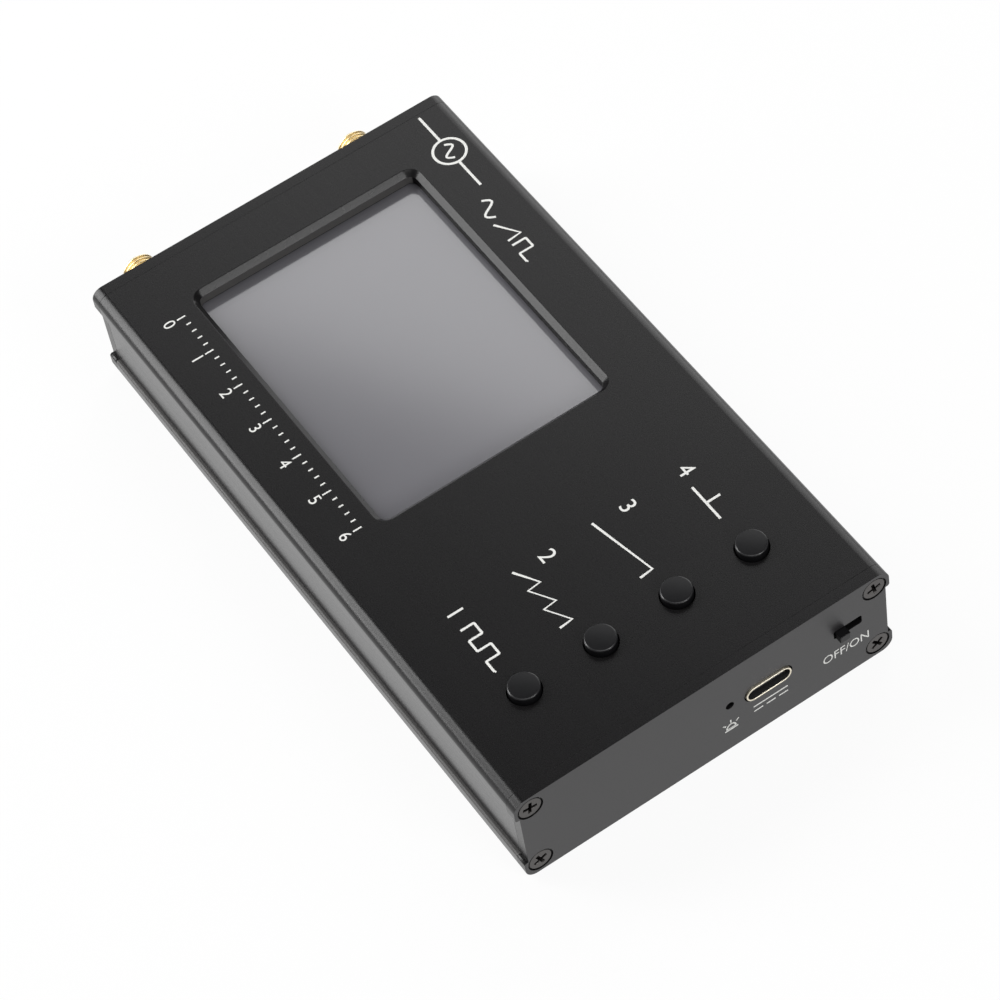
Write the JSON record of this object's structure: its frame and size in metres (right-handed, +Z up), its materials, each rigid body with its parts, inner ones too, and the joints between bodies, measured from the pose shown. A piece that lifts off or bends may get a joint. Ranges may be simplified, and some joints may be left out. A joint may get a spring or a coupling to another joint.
{
  "type": "signal generator",
  "caption": "Hand-held radio signal generator: a flat black extruded case with a display window, push buttons, a USB-C socket, a slide switch and coaxial output jacks.",
  "frame": {"origin": "centre of the flat base that it rests on", "axes": "+X from the coaxial jacks to the USB socket, +Y to the side of the slide switch, +Z up out of the display face"},
  "size_m": [0.1393, 0.0732, 0.0231],
  "materials": {
    "case_anodised": "matte black anodised, fine blasted grain",
    "plate_anodised": "matte black anodised plate",
    "black_screw": "blackened steel",
    "black_plastic": "moulded, satin",
    "switch_plastic": "moulded, dull",
    "display_glass": "display panel, unlit, satin front film",
    "gasket_rubber": "soft black",
    "foam": "adhesive foam",
    "white_plastic": "moulded",
    "ptfe": "turned, waxy white",
    "flex_film": "amber film over copper",
    "steel": "tin plated",
    "usb_plastic": "moulded, black",
    "gold": "gold plated",
    "lamp_lens": "clear epoxy, unlit",
    "board_green": "solder mask",
    "chip_plastic": "moulded epoxy",
    "ferrite": "sintered",
    "battery_foil": "pouch foil",
    "lead_red": "silicone insulation",
    "lead_black": "silicone insulation"
  },
  "bodies": {
    "case": {"case_shell": "case_anodised", "front_plate": "plate_anodised", "rear_plate": "plate_anodised", "front_plate_screws": "black_screw", "rear_plate_screws": "black_screw", "tact_base_1": "switch_plastic", "tact_base_2": "switch_plastic", "tact_base_3": "switch_plastic", "tact_base_4": "switch_plastic", "power_switch_base": "switch_plastic", "display_glass": "display_glass", "display_gasket": "gasket_rubber", "display_pad": "foam", "battery_pad": "foam", "display_backlight": "white_plastic", "charge_lamp_body": "white_plastic", "flex_socket": "white_plastic", "battery_plug": "white_plastic", "battery_socket": "white_plastic", "rf_insulators": "ptfe", "display_flex": "flex_film", "display_tray": "steel", "usb_shell": "steel", "power_switch_cover": "steel", "shield_frame": "steel", "shield_lid": "steel", "reference_oscillator": "steel", "tact_dome_1": "steel", "tact_dome_2": "steel", "tact_dome_3": "steel", "tact_dome_4": "steel", "tact_cover_1": "steel", "tact_cover_2": "steel", "tact_cover_3": "steel", "tact_cover_4": "steel", "usb_tongue": "usb_plastic", "rf_jack_left": "gold", "rf_jack_right": "gold", "rf_contacts": "gold", "charge_lamp_lens": "lamp_lens", "main_board": "board_green", "synthesiser_chip": "chip_plastic", "microcontroller": "chip_plastic", "charger_chip": "chip_plastic", "power_inductor": "ferrite", "battery": "battery_foil", "battery_lead_red": "lead_red", "battery_lead_black": "lead_black"},
    "button_1": {"button_cap_1": "black_plastic", "tact_plunger_1": "switch_plastic"},
    "button_2": {"button_cap_2": "black_plastic", "tact_plunger_2": "switch_plastic"},
    "button_3": {"button_cap_3": "black_plastic", "tact_plunger_3": "switch_plastic"},
    "button_4": {"button_cap_4": "black_plastic", "tact_plunger_4": "switch_plastic"},
    "power_slider": {"power_knob": "black_plastic", "power_contact": "gold"}
  },
  "joints": [
    {"name": "button_1_press", "type": "slide", "parent": "case", "child": "button_1", "axis": [0, 0, -1], "range_m": [0, 0.0004], "stiffness_N_per_m": 4000, "deforming": ["tact_dome_1"]},
    {"name": "button_2_press", "type": "slide", "parent": "case", "child": "button_2", "axis": [0, 0, -1], "range_m": [0, 0.0004], "stiffness_N_per_m": 4000, "deforming": ["tact_dome_2"]},
    {"name": "button_3_press", "type": "slide", "parent": "case", "child": "button_3", "axis": [0, 0, -1], "range_m": [0, 0.0004], "stiffness_N_per_m": 4000, "deforming": ["tact_dome_3"]},
    {"name": "button_4_press", "type": "slide", "parent": "case", "child": "button_4", "axis": [0, 0, -1], "range_m": [0, 0.0004], "stiffness_N_per_m": 4000, "deforming": ["tact_dome_4"]},
    {"name": "power_slide", "type": "slide", "parent": "case", "child": "power_slider", "axis": [0, 1, 0], "range_m": [0, 0.003]}
  ]
}
